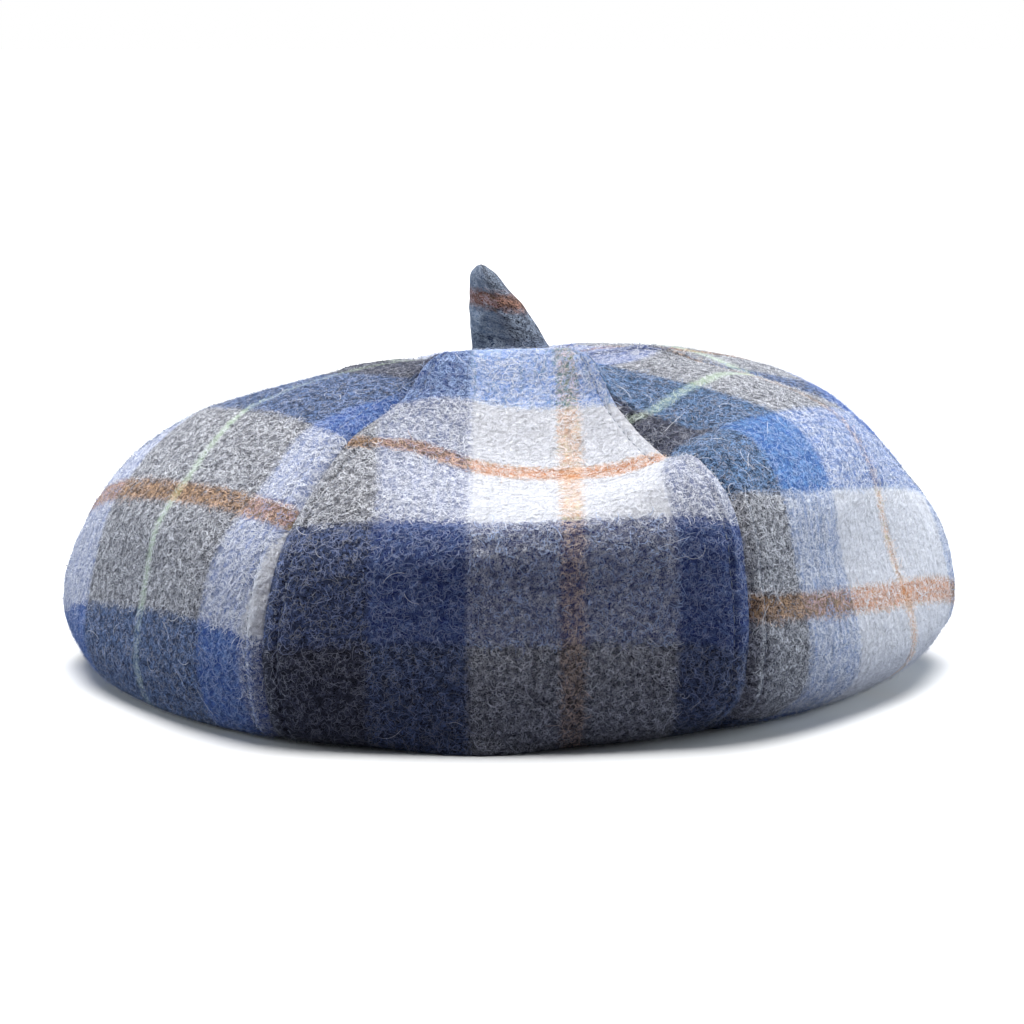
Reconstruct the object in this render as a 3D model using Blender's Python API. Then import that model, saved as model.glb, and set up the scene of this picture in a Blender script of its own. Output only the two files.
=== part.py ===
"""Tam o shanter: a soft round cap of plaid wool, six wedge-shaped gores around a short cloth stem.

Metres, +Z up. The hat rests on its turned-under brim at z = 0, its middle on the z axis, and the
photographed side faces -Y. An azimuth is counted from -Y towards +X.
"""
import bpy
import numpy as np

# Driving dimensions
BODY_RADIUS = 0.1425  # middle of the hat to the widest part of its rim
CROWN_HEIGHT = 0.100  # surface under the hat to the crown beside the stem
OPENING_RADIUS = 0.090  # head opening, at its turned hem
CLOTH_THICKNESS = 0.002
HEM_THICKNESS = 0.0032  # the hem is turned under once, so it is thicker than the cloth
HEM_WIDTH = 0.012
SEAM_GAP = 0.0003
STEM_HEIGHT = 0.0312  # stem seat to stem tip
STEM_RADIUS = 0.0130  # stem at its foot
STEM_FIT = 0.0003  # clearance round the stem's foot

# Mesh density
ROWS = 27
COLUMNS = 12
STEM_SIDES = 24

GORE_PUFF = 2.3  # power of the rise from a seam to the middle of a gore; higher is flatter on top
FULL_TURN = 360.0
SMALLEST_STEP = 1e-9

GORES = (
    # node name, azimuth of the middle of the gore in degrees
    ("gore_front", 0),
    ("gore_front_right", 60),
    ("gore_back_right", 120),
    ("gore_back", 180),
    ("gore_back_left", 240),
    ("gore_front_left", 300),
)
HALF_GORE = FULL_TURN / len(GORES) / 2

# A section runs from the stem seat over the crown and shoulder, down the side and under to the
# opening. Its stations, in order, and the share of the way along the cloth where each one lies
STATIONS = (
    ("seat", 0.000), ("crest", 0.113), ("brow", 0.242), ("shelf", 0.364), ("shoulder", 0.446),
    ("haunch", 0.537), ("wall", 0.632), ("rim", 0.732), ("turn", 0.810), ("rest", 0.879), ("edge", 1.000),
)
SEAT_HEIGHT = 0.955  # share of the crown height
WALL_HEIGHT = 0.46  # share of the crown height
# shares of the body radius where a section passes the crest, the brow and the shelf
SEAM_RADII = (0.320, 0.470, 0.646)
MIDDLE_RADII = (0.205, 0.345, 0.560)

# Sections at the seams (30, 90 and so on) and through the middles of the gores (0, 60 and so on).
# _r is a share of the body radius and _z is a share of the crown height
SECTION_COLUMNS = (
    "azimuth", "crest_z", "brow_z", "shelf_z", "shoulder_r", "shoulder_z", "haunch_r", "haunch_z",
    "wall_r", "rim_r", "rim_z", "turn_r", "turn_z", "rest_r",
)
SECTIONS = (
    (0, 1.035, 0.900, 0.732, 0.825, 0.668, 0.893, 0.592, 0.908, 0.925, 0.22, 0.910, 0.06, 0.855),
    (30, 1.048, 0.898, 0.795, 0.772, 0.810, 0.910, 0.680, 0.960, 0.965, 0.26, 0.930, 0.11, 0.800),
    (60, 0.985, 0.976, 0.925, 0.720, 0.845, 0.840, 0.670, 0.890, 0.935, 0.23, 0.918, 0.10, 0.810),
    (90, 1.018, 0.945, 0.860, 0.755, 0.795, 0.865, 0.635, 0.965, 0.999, 0.24, 0.970, 0.12, 0.850),
    (120, 0.984, 0.976, 0.935, 0.710, 0.876, 0.840, 0.700, 0.895, 0.940, 0.25, 0.920, 0.11, 0.830),
    (150, 0.975, 0.935, 0.880, 0.745, 0.815, 0.870, 0.660, 0.940, 0.975, 0.26, 0.945, 0.11, 0.850),
    (180, 0.960, 0.945, 0.890, 0.700, 0.837, 0.845, 0.695, 0.905, 0.940, 0.25, 0.925, 0.09, 0.860),
    (210, 0.945, 0.893, 0.830, 0.740, 0.784, 0.865, 0.650, 0.940, 0.975, 0.26, 0.945, 0.08, 0.860),
    (240, 0.955, 0.915, 0.838, 0.700, 0.788, 0.845, 0.645, 0.900, 0.945, 0.25, 0.930, 0.07, 0.860),
    (270, 0.965, 0.880, 0.808, 0.730, 0.765, 0.860, 0.630, 0.948, 1.003, 0.24, 0.975, 0.08, 0.880),
    (300, 0.985, 0.976, 0.915, 0.700, 0.825, 0.850, 0.640, 0.915, 0.950, 0.21, 0.935, 0.07, 0.880),
    (330, 1.035, 0.925, 0.855, 0.760, 0.765, 0.900, 0.610, 0.970, 1.000, 0.26, 0.965, 0.06, 0.885),
)

# Dents and folds pressed into the cloth. way is the share of the way along the cloth, round and
# along are the half sizes of the fold, and depth is a share of the crown height, inwards if positive
FOLD_COLUMNS = ("azimuth", "way", "round_deg", "along", "turned_deg", "depth")
FOLDS = (
    (22, 0.40, 6.0, 0.030, 35, 0.022),  # pucker that runs into the front right seam
    (24, 0.46, 5.0, 0.022, 20, -0.018),  # ridge below the pucker
    (37, 0.37, 5.0, 0.035, -20, 0.020),  # valley beside the seam on the front right gore
    (-23, 0.36, 4.5, 0.050, 0, -0.012),  # roll along the front left seam
    (64, 0.62, 9.0, 0.090, 10, 0.014),
    (-58, 0.66, 9.0, 0.060, -15, 0.014),
    (128, 0.55, 9.0, 0.080, 20, 0.018),
    (176, 0.48, 12.0, 0.050, 0, 0.020),
    (232, 0.60, 9.0, 0.080, -20, 0.016),
    (-4, 0.880, 7.0, 0.055, 0, -0.070),  # low point of the front's lower edge
)

# The stem's cross-sections from its foot up, as shares of the stem's height and foot radius. The
# stem leans to -X, and its -X side is nearly upright
STEM_COLUMNS = ("height", "lean", "half_width", "half_depth")
STEM_SECTIONS = (
    (0.000, 0.000, 0.970, 0.970),
    (0.080, 0.000, 0.995, 0.995),
    (0.220, 0.030, 0.945, 0.930),
    (0.360, -0.100, 0.835, 0.810),
    (0.530, -0.250, 0.710, 0.700),
    (0.660, -0.350, 0.620, 0.610),
    (0.800, -0.530, 0.450, 0.460),
    (0.900, -0.620, 0.345, 0.350),
    (0.965, -0.690, 0.215, 0.215),
    (1.000, -0.705, 0.070, 0.070),
)

# Materials: name, base colour, roughness
GORE_COLOURS = {
    "gore_front": (0.040, 0.058, 0.115),
    "gore_front_right": (0.330, 0.400, 0.520),
    "gore_back_right": (0.300, 0.360, 0.470),
    "gore_back": (0.120, 0.150, 0.230),
    "gore_back_left": (0.300, 0.360, 0.470),
    "gore_front_left": (0.280, 0.330, 0.440),
}
STEM_COLOUR = (0.115, 0.150, 0.190)
WOOL_ROUGHNESS = 0.92


def clear_scene():
    for item in list(bpy.data.objects):
        bpy.data.objects.remove(item, do_unlink=True)


def wool_material(name, colour):
    material = bpy.data.materials.new(name)
    material.use_nodes = True
    shader = material.node_tree.nodes["Principled BSDF"]
    shader.inputs["Base Color"].default_value = (*colour, 1.0)
    shader.inputs["Roughness"].default_value = WOOL_ROUGHNESS
    shader.inputs["Metallic"].default_value = 0.0
    material.diffuse_color = (*colour, 1.0)
    return material


def section_row(azimuth):
    for values in SECTIONS:
        if values[0] == azimuth % FULL_TURN:
            return dict(zip(SECTION_COLUMNS, values))
    raise ValueError(f"no section at {azimuth} degrees")


def section_stations(azimuth):
    """Radius and height of one section's stations, in metres."""
    row = section_row(azimuth)
    crest_r, brow_r, shelf_r = SEAM_RADII if azimuth % (2 * HALF_GORE) else MIDDLE_RADII
    seat_r = STEM_RADIUS + STEM_FIT
    crown = (
        (crest_r, row["crest_z"]),
        (brow_r, row["brow_z"]),
        (shelf_r, row["shelf_z"]),
        (row["shoulder_r"], row["shoulder_z"]),
        (row["haunch_r"], row["haunch_z"]),
        (row["wall_r"], WALL_HEIGHT),
        (row["rim_r"], row["rim_z"]),
        (row["turn_r"], row["turn_z"]),
        (row["rest_r"], 0.0),
    )
    points = [(seat_r, SEAT_HEIGHT * CROWN_HEIGHT)]
    points += [(r * BODY_RADIUS, z * CROWN_HEIGHT) for r, z in crown]
    points.append((OPENING_RADIUS, 0.0))
    return np.array(points)


def station_weights(way):
    """How much each station counts at each share of the way: a smooth curve through the stations."""
    knots = np.array([share for _, share in STATIONS])
    count = len(knots)
    unit = np.eye(count)
    slope = np.zeros((count, count))
    for i in range(count):
        before = max(i - 1, 0)
        after = min(i + 1, count - 1)
        slope[i] = (unit[after] - unit[before]) / (knots[after] - knots[before])
    lower = np.clip(np.searchsorted(knots, way, side="right") - 1, 0, count - 2)
    span = (knots[lower + 1] - knots[lower])[:, None]
    x = (way - knots[lower])[:, None] / span
    return (
        (2 * x**3 - 3 * x**2 + 1) * unit[lower]
        + (x**3 - 2 * x**2 + x) * span * slope[lower]
        + (3 * x**2 - 2 * x**3) * unit[lower + 1]
        + (x**3 - x**2) * span * slope[lower + 1]
    )


def section_curve(azimuth, way):
    points = station_weights(way) @ section_stations(azimuth)
    angle = np.radians(azimuth)
    radius = points[:, 0]
    return np.stack([radius * np.sin(angle), -radius * np.cos(angle), points[:, 1]], axis=1)


def grid_normals(points):
    """Outward unit normals of a grid of points, rows along the cloth and columns round it."""
    along = np.gradient(points, axis=0)
    across = np.gradient(points, axis=1)
    normals = np.cross(along, across)
    return normals / np.maximum(np.linalg.norm(normals, axis=2, keepdims=True), SMALLEST_STEP)


def fold_depths(points, way):
    """Inward distance that the dents and folds press each point."""
    azimuth = np.degrees(np.arctan2(points[..., 0], -points[..., 1]))
    depth = np.zeros(azimuth.shape)
    for values in FOLDS:
        fold = dict(zip(FOLD_COLUMNS, values))
        turned = np.radians(fold["turned_deg"])
        aside = (azimuth - fold["azimuth"] + FULL_TURN / 2) % FULL_TURN - FULL_TURN / 2
        x = aside / fold["round_deg"]
        y = (way[:, None] - fold["way"]) / fold["along"]
        u = x * np.cos(turned) + y * np.sin(turned)
        v = y * np.cos(turned) - x * np.sin(turned)
        depth += fold["depth"] * CROWN_HEIGHT * np.exp(-(u**2) - v**2)
    return depth


def gore_surface(azimuth, side, way):
    """Outer face of a gore: side runs from -1 at one seam to 1 at the other, way from stem to hem."""
    left = section_curve(azimuth - HALF_GORE, way)[:, None]
    right = section_curve(azimuth + HALF_GORE, way)[:, None]
    middle = section_curve(azimuth, way)[:, None]
    s = side[None, :, None]
    flat = (1 - s) / 2 * left + (1 + s) / 2 * right
    points = flat + (1 - np.abs(s) ** GORE_PUFF) * (middle - (left + right) / 2)
    pressed = fold_depths(points, way)[..., None] * (1 - s**4)
    points = points - grid_normals(points) * pressed
    points[..., 2] = np.maximum(points[..., 2], 0.0)
    return points


def seam_plane_normal(azimuth):
    angle = np.radians(azimuth)
    return np.array([np.cos(angle), np.sin(angle), 0.0])


def gore_grids(azimuth):
    """Outer and inner face of a gore, as grids of points with the seam gap taken off."""
    side = np.linspace(-1, 1, COLUMNS + 1)
    way = np.linspace(0, 1, ROWS + 1)
    outer = gore_surface(azimuth, side, way)
    normals = grid_normals(outer)
    # where the cloth lies on the surface, it is thickened straight up
    normals[outer[..., 2] <= SMALLEST_STEP] = (0.0, 0.0, -1.0)
    # beside a seam the cloth is thickened more and more in the seam's own plane, and at the seam
    # wholly in it, so that the two cloths of a seam stay apart
    for seam, halves in ((azimuth - HALF_GORE, side < 0), (azimuth + HALF_GORE, side > 0)):
        plane = seam_plane_normal(seam)
        share = np.where(halves, side**2, 0.0)[None, :, None]
        normals = normals - share * (normals @ plane)[..., None] * plane
    normals /= np.linalg.norm(normals, axis=2, keepdims=True)
    outer[:, 0] += seam_plane_normal(azimuth - HALF_GORE) * SEAM_GAP / 2
    outer[:, -1] -= seam_plane_normal(azimuth + HALF_GORE) * SEAM_GAP / 2
    run = np.linalg.norm(np.diff(outer, axis=0), axis=2)
    to_edge = np.concatenate([np.cumsum(run[::-1], axis=0)[::-1], np.zeros((1, run.shape[1]))])
    hem = np.clip(1 - to_edge / HEM_WIDTH, 0, 1)[..., None]
    thickness = CLOTH_THICKNESS + (HEM_THICKNESS - CLOTH_THICKNESS) * np.sqrt(hem)
    inner = outer - normals * thickness
    return outer, inner


def mesh_object(name, vertices, faces, material, origin):
    mesh = bpy.data.meshes.new(name)
    mesh.from_pydata([tuple(np.asarray(v) - origin) for v in vertices], [], faces)
    mesh.validate()
    mesh.materials.append(material)
    item = bpy.data.objects.new(name, mesh)
    item.location = origin
    bpy.context.scene.collection.objects.link(item)
    mesh.shade_smooth()
    mesh.set_sharp_from_angle(angle=np.radians(50))
    return item


def build_gore(name, azimuth, parent):
    outer, inner = gore_grids(azimuth)
    rows, columns = outer.shape[:2]
    layer = rows * columns

    def place(face, i, j):
        return face * layer + i * columns + j

    faces = []
    for i in range(rows - 1):
        for j in range(columns - 1):
            a, b, c, d = place(0, i, j), place(0, i + 1, j), place(0, i + 1, j + 1), place(0, i, j + 1)
            faces.append((a, b, c))
            faces.append((a, c, d))
            a, b, c, d = place(1, i, j), place(1, i, j + 1), place(1, i + 1, j + 1), place(1, i + 1, j)
            faces.append((a, b, c))
            faces.append((a, c, d))
    for i in range(rows - 1):
        faces.append((place(0, i, 0), place(1, i, 0), place(1, i + 1, 0), place(0, i + 1, 0)))
        last = columns - 1
        faces.append((place(0, i, last), place(0, i + 1, last), place(1, i + 1, last), place(1, i, last)))
    for j in range(columns - 1):
        faces.append((place(0, 0, j), place(0, 0, j + 1), place(1, 0, j + 1), place(1, 0, j)))
        last = rows - 1
        faces.append((place(0, last, j), place(1, last, j), place(1, last, j + 1), place(0, last, j + 1)))
    vertices = np.concatenate([outer.reshape(-1, 3), inner.reshape(-1, 3)])
    origin = outer[0, columns // 2].copy()
    material = wool_material(name + "_wool", GORE_COLOURS[name])
    item = mesh_object(name, vertices, faces, material, origin)
    item.parent = parent
    return item


def build_stem(parent):
    base = np.array([0.0, 0.0, SEAT_HEIGHT * CROWN_HEIGHT - CLOTH_THICKNESS])
    rows = [dict(zip(STEM_COLUMNS, values)) for values in STEM_SECTIONS]
    turns = np.linspace(0, 2 * np.pi, STEM_SIDES, endpoint=False)
    vertices = []
    for row in rows:
        centre_x = row["lean"] * STEM_RADIUS
        for turn in turns:
            x = centre_x + row["half_width"] * STEM_RADIUS * np.cos(turn)
            y = row["half_depth"] * STEM_RADIUS * np.sin(turn)
            vertices.append(base + (x, y, row["height"] * (STEM_HEIGHT + CLOTH_THICKNESS)))
    faces = []
    for i in range(len(rows) - 1):
        for j in range(STEM_SIDES):
            after = (j + 1) % STEM_SIDES
            low = i * STEM_SIDES
            high = low + STEM_SIDES
            faces.append((low + j, low + after, high + after, high + j))
    faces.append(tuple(reversed(range(STEM_SIDES))))
    faces.append(tuple(range((len(rows) - 1) * STEM_SIDES, len(rows) * STEM_SIDES)))
    item = mesh_object("stem", vertices, faces, wool_material("stem_wool", STEM_COLOUR), base)
    item.parent = parent
    return item


def centre_on_origin(hat):
    """Moves the whole hat so that its box stands centred on the z axis, with its brim at z = 0."""
    bpy.context.view_layer.update()
    corners = []
    for item in hat.children:
        corners += [item.matrix_world @ vertex.co for vertex in item.data.vertices]
    corners = np.array(corners)
    low = corners.min(axis=0)
    high = corners.max(axis=0)
    hat.location = (-(low[0] + high[0]) / 2, -(low[1] + high[1]) / 2, -low[2])


def main():
    clear_scene()
    hat = bpy.data.objects.new("tam_o_shanter", None)
    bpy.context.scene.collection.objects.link(hat)
    for name, azimuth in GORES:
        build_gore(name, azimuth, hat)
    build_stem(hat)
    centre_on_origin(hat)


main()
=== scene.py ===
"""Tam o shanter of brushed plaid wool: six gores, a cloth stem, seams, topstitching and nap."""
import math

import bpy
import numpy as np
from bpy.props import FloatProperty, FloatVectorProperty, IntProperty, PointerProperty
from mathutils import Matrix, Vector, noise


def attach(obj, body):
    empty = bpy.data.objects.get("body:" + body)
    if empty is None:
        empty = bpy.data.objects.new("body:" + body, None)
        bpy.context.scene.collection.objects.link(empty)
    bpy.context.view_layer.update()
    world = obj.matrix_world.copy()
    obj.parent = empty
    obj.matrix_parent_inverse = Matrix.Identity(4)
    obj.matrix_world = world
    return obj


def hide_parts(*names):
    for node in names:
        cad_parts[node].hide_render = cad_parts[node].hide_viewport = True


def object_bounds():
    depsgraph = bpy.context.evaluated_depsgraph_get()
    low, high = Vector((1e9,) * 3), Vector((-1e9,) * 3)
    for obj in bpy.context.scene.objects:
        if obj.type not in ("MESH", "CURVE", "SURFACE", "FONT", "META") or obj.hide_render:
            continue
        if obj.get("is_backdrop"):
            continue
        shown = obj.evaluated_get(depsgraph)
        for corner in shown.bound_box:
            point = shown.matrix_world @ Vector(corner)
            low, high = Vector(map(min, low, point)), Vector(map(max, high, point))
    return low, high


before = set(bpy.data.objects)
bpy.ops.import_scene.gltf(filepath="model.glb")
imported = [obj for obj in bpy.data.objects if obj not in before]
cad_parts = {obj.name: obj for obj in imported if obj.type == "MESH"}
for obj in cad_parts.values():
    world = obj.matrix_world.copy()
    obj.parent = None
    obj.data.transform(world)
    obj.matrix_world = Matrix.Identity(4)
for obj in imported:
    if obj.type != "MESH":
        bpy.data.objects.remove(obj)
CAD_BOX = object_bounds()

bl_info = {
    "name": "Tam o shanter",
    "version": (1, 0, 0),
    "blender": (4, 5, 0),
    "location": "3D View > Sidebar > Hat",
    "description": "Builds a soft plaid wool tam with a cloth stem",
    "category": "Add Mesh",
}

MM = 0.001
FULL_TURN = 360.0
TINY = 1e-9

GORES = (
    # name, azimuth of its middle in degrees, how the warp leans near the crown, how the weft tilts
    # and bows between the seams, and where the yarns change colour across and along the gore (mm)
    # the front gore's weft has a lighter copy of the blue beside the crown as painted light, and a darker
    # copy on the wall as painted shade
    ("gore_front", 0, 0.0, -4.2, 1.0,
     "charcoal -40.5 denim -12 white 14.2 peach 21.0 white 48 denim 76 charcoal",
     "charcoal 24 sky 53.3 white 82.3 orange 89.8 white 125.8 navy 162.2 charcoal"),
    ("gore_front_right", 60, -14.0, -5.0, 0.0,
     "charcoal -46.5 azure -20.5 white 12.2 peach 16.2 white 57 azure 80 charcoal",
     "white 4 blue 36 charcoal 64.6 green 68.6 charcoal 93 azure 126 white 156 orange 163.4 white 200 blue"),
    ("gore_back_right", 120, 0.0, 2.0, 0.0,
     "charcoal -58 blue -30 white -3 orange 4 white 31 blue 58 charcoal",
     "white 10 blue 42 charcoal 68 green 72.5 charcoal 97 blue 130 white 160 orange 167.5 white 200 blue"),
    ("gore_back", 180, 0.0, -2.0, 2.0,
     "charcoal -62 blue -35 white -8 orange -0.5 white 27 blue 54 charcoal",
     "white 12 blue 46 charcoal 71.5 green 76.5 charcoal 101 blue 135 white 169 orange 176.5 white"),
    ("gore_back_left", 240, 0.0, 3.0, 0.0,
     "white -57 orange -50 white -20 blue 8 charcoal 42 green 46.5 charcoal",
     "blue 30 white 64 orange 71.5 white 106 blue 140 charcoal 165.5 green 170.5 charcoal"),
    ("gore_front_left", 300, 12.0, 5.5, 0.0,
     "blue -29 charcoal 8.0 green 11.4 charcoal 45.5 blue 64.5 white 98 blue",
     "charcoal 34 green 39 charcoal 64 blue 98 white 131.8 orange 139.2 white 172.4 blue 208 charcoal"),
)
LEAN_FROM, LEAN_TO = 95.0, 140.0  # mm from the crown over which a leaning warp straightens
PULL_COLUMNS = ("side", "width", "along", "spread", "pull")
PULLS = {  # where the sewing has pulled the weft up or down near a seam
    "gore_front": (
        (-1.0, 0.30, 80, 30, -12), (-0.8, 0.55, 85, 22, 6.3), (-1.0, 0.50, 52, 18, -5),
        (1.0, 0.40, 52, 18, -3), (0.10, 0.75, 147, 35, -4.5),
    ),
    "gore_front_right": ((-1.0, 0.45, 68, 15, -7), (0.3, 0.50, 64, 12, 3.5)),
    "gore_front_left": ((1.0, 0.50, 95, 25, -6), (-1.0, 0.50, 95, 25, 5)),
}
HALF_GORE = FULL_TURN / len(GORES) / 2

# The hat's shape, the same as the solid parts': stations of a section from the stem to the opening
STATION_WAYS = (0.0, 0.113, 0.242, 0.364, 0.446, 0.537, 0.632, 0.732, 0.810, 0.879, 1.0)
SEAT_HEIGHT = 0.955
WALL_HEIGHT = 0.46
SEAM_RADII = (0.320, 0.470, 0.646)
MIDDLE_RADII = (0.205, 0.345, 0.560)
SECTION_COLUMNS = (
    "azimuth", "crest_z", "brow_z", "shelf_z", "shoulder_r", "shoulder_z", "haunch_r", "haunch_z",
    "wall_r", "rim_r", "rim_z", "turn_r", "turn_z", "rest_r",
)
SECTIONS = (
    (0, 1.035, 0.900, 0.732, 0.825, 0.668, 0.893, 0.592, 0.908, 0.925, 0.22, 0.910, 0.06, 0.855),
    (30, 1.048, 0.898, 0.795, 0.772, 0.810, 0.910, 0.680, 0.960, 0.965, 0.26, 0.930, 0.11, 0.800),
    (60, 0.985, 0.976, 0.925, 0.720, 0.845, 0.840, 0.670, 0.890, 0.935, 0.23, 0.918, 0.10, 0.810),
    (90, 1.018, 0.945, 0.860, 0.755, 0.795, 0.865, 0.635, 0.965, 0.999, 0.24, 0.970, 0.12, 0.850),
    (120, 0.984, 0.976, 0.935, 0.710, 0.876, 0.840, 0.700, 0.895, 0.940, 0.25, 0.920, 0.11, 0.830),
    (150, 0.975, 0.935, 0.880, 0.745, 0.815, 0.870, 0.660, 0.940, 0.975, 0.26, 0.945, 0.11, 0.850),
    (180, 0.960, 0.945, 0.890, 0.700, 0.837, 0.845, 0.695, 0.905, 0.940, 0.25, 0.925, 0.09, 0.860),
    (210, 0.945, 0.893, 0.830, 0.740, 0.784, 0.865, 0.650, 0.940, 0.975, 0.26, 0.945, 0.08, 0.860),
    (240, 0.955, 0.915, 0.838, 0.700, 0.788, 0.845, 0.645, 0.900, 0.945, 0.25, 0.930, 0.07, 0.860),
    (270, 0.965, 0.880, 0.808, 0.730, 0.765, 0.860, 0.630, 0.948, 1.003, 0.24, 0.975, 0.08, 0.880),
    (300, 0.985, 0.976, 0.915, 0.700, 0.825, 0.850, 0.640, 0.915, 0.950, 0.21, 0.935, 0.07, 0.880),
    (330, 1.035, 0.925, 0.855, 0.760, 0.765, 0.900, 0.610, 0.970, 1.000, 0.26, 0.965, 0.06, 0.885),
)
FOLD_COLUMNS = ("azimuth", "way", "round_deg", "along", "turned_deg", "depth")
FOLDS = (
    (22, 0.40, 6.0, 0.030, 35, 0.022),  # pucker that runs into the front right seam
    (24, 0.46, 5.0, 0.022, 20, -0.018),  # ridge below the pucker
    (37, 0.37, 5.0, 0.035, -20, 0.020),  # valley beside the seam on the front right gore
    (-23, 0.36, 4.5, 0.050, 0, -0.012),  # roll along the front left seam
    (64, 0.62, 9.0, 0.090, 10, 0.014),
    (-58, 0.66, 9.0, 0.060, -15, 0.014),
    (128, 0.55, 9.0, 0.080, 20, 0.018),
    (176, 0.48, 12.0, 0.050, 0, 0.020),
    (232, 0.60, 9.0, 0.080, -20, 0.016),
    (-4, 0.880, 7.0, 0.055, 0, -0.070),  # low point of the front's lower edge
)
STEM_SECTIONS = (
    # height as a share of the stem's, then lean, half width and half depth as shares of its radius
    (0.000, 0.000, 0.970, 0.970),
    (0.080, 0.000, 0.995, 0.995),
    (0.220, 0.030, 0.945, 0.930),
    (0.360, -0.100, 0.835, 0.810),
    (0.530, -0.250, 0.710, 0.700),
    (0.660, -0.350, 0.620, 0.610),
    (0.800, -0.530, 0.450, 0.460),
    (0.900, -0.620, 0.345, 0.350),
    (0.965, -0.690, 0.215, 0.215),
    (1.000, -0.705, 0.070, 0.070),
)

# Distances from a seam, in mm, at which a gore's mesh has its close columns
SEAM_COLUMNS_MM = (0.0, 0.5, 1.0, 1.6, 2.3, 3.1, 3.9, 4.5, 4.9, 5.2, 5.5, 5.8, 6.1, 6.6, 7.4, 8.4, 10.0, 12.0)
CLOSE_SHARE = 1.6  # half a gore is at least this many times as wide as its close columns
MIDDLE_COLUMNS = 23  # from the last close column to the middle of the gore
GORE_ROWS = 138
SMOOTH_COLUMNS = 61
SOLID_ROWS, SOLID_COLUMNS = 28, 13  # grid of a solid gore
WEFT_SAG = 0.088  # how far the weft dips toward the seams, as a share of the radius

# What the sewing raises beside a seam or an edge: height, distance and width, in mm
ALLOWANCE_RIDGE, OUTER_ROLL = (0.15, 3.8, 1.2), (0.25, 10.0, 4.0)
STITCH_SINK, STITCH_SINK_WIDTH = -0.32, 0.7  # at the row of topstitching
HEM_ROW = 10.0
HEM_HOLLOW = (0.45, HEM_ROW, 0.8)
# Puckers that run along a seam: their length, their seed, and their height, distance and width
PUCKERS = ((9.0, 3.1, (0.55, 6.5, 7.0)), (9.0 / 2.3, 8.7, (0.25, 5.5, 4.0)))
GROOVE_WIDTH = 4.5
LIFT_AT_SEAM, LIFT_WIDTH = 0.5, 2.0  # of the underside
ALLOWANCE_THICKNESS, THICKNESS_STEP = 0.9, 0.8
SEAM_CLEARANCE = 0.04
SEWN_AT_FLOOR = 0.25  # share of the sewn relief that is left where the hat lies on the floor
FULL_WIDTHS, LEAST_FIT = 4, 0.05  # the relief shrinks where a gore is narrower than four close bands

# Soft unevenness of the cloth: height in mm, length in mm and seed of each layer
CLOTH_WAVES = ((0.9, 42.0, 12.3), (0.25, 15.0, 40.9))
CLOTH_LUMPS = ((0.16, 4.2, 77.7),)
STEM_WAVES = ((0.7, 9.0, 5.5), (0.25, 3.2, 61.0))
CALM_AT_SEAM, CALM_AT_FLOOR = 14.0, 12.0  # mm over which it fades

STEM_SETTS = ("slate -9 charcoal 9 slate", "blueslate 12 slate 20.2 rust 25.4 slate")
STEM_WARP_SHARE = 0.28
STEM_SIDES, STEM_ROWS = 64, 54
STEM_BLUR = (1, 4, 6, 4, 1)  # weights of the rows that round off the stem's sections
STEM_CALM = (0.22, 0.34)  # shares of its height over which the unevenness comes in
STEM_WRAP = 6.0 * MM  # cloth for each radian round the stem
BAND_SLANT, TIP_ROUNDING = 0.15, 0.5 * MM

STITCH_SIDES = 5
# rings of a stitch: place along it as a share of its length, thickness and lift as shares of its radius
STITCH_SHAPE = (
    (-0.5, 0.35, -1.3), (-0.40, 0.85, -0.2), (0.0, 1.0, 0.35), (0.40, 0.85, -0.2), (0.5, 0.35, -1.3),
)
STITCH_DEPTH = 0.03  # mm that a stitch sinks into the cloth
FIRST_STITCHED_ROW = 6  # of a gore's rows, so that the stitching ends beside the stem
THREAD_TURNS = (9000.0, 12.6)  # radians of twist for each metre along and each turn round
THREAD_SHADE, PLY_EDGES = 0.62, (-0.7, 0.5)

# The nap and the loose hairs: lengths in mm, turns in radians. The nap's lengths are gamma distributed.
NAP_SHAPE, NAP_SCALE, NAP_SHORTEST = 3.0, 0.6, 1.0
NAP_UNDERNEATH = 0.02  # how much of it the underside has
NAP_LIGHT, NAP_LIGHT_SHARE = (0.84, 0.88, 1.00), 0.31
FIBRE_TURN, FIBRE_BEND = 6.5, 2.5
FIBRE_LIFT, TIP_LIFT, FIBRE_CLEARANCE, FLOOR_CLEARANCE = (0.05, 0.50), 0.6, 0.05, 0.1
FIBRE_TAPER = ((0, 0.15, 0.8, 1), (0.8, 1.0, 0.9, 0.3))
HAIRS_PER_GORE, HAIR_POINTS = 60, 26
HAIR_LENGTHS, HAIR_LIFT, HAIR_CURL, HAIR_WIDTH = (4.0, 11.0), 0.3, 0.45, 0.85
HAIR_ROWS = (0.05, 0.80)  # shares of the way from the stem between which loose hairs lie
HAIRLESS_SIDE = 6  # the part of a gore's columns at each side that has no loose hairs: one in six

# Every yarn, the painted-light and painted-shade copies of the blue among them, has a colour property in
# HatCloth and a material for the nap raised from it
YARNS = ("orange", "peach", "white", "blue", "denim", "sky", "navy", "azure", "charcoal", "green")
BLUES = ("blue", "denim", "sky", "azure")
SETT_LOW, SETT_HIGH = -110.0, 230.0  # mm that a sett's colour ramp covers
SETT_BLUR = 0.9  # mm on each side of a colour change
STRAY = 4.4 * MM  # how far single fibres stray over a colour change
WARP_STRAYS, WEFT_STRAYS = 800.0, 880.0  # features for each metre
HEATHERING = 0.5
HEATHER_STREAKS = (700.0, 90.0)  # for each metre across and along a yarn
WHITE_HIDES = 1.05  # how fully a white weft hides a blue warp
TOWARD_DARKER, TOWARD_LIGHTER = 0.88, 0.50
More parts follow.
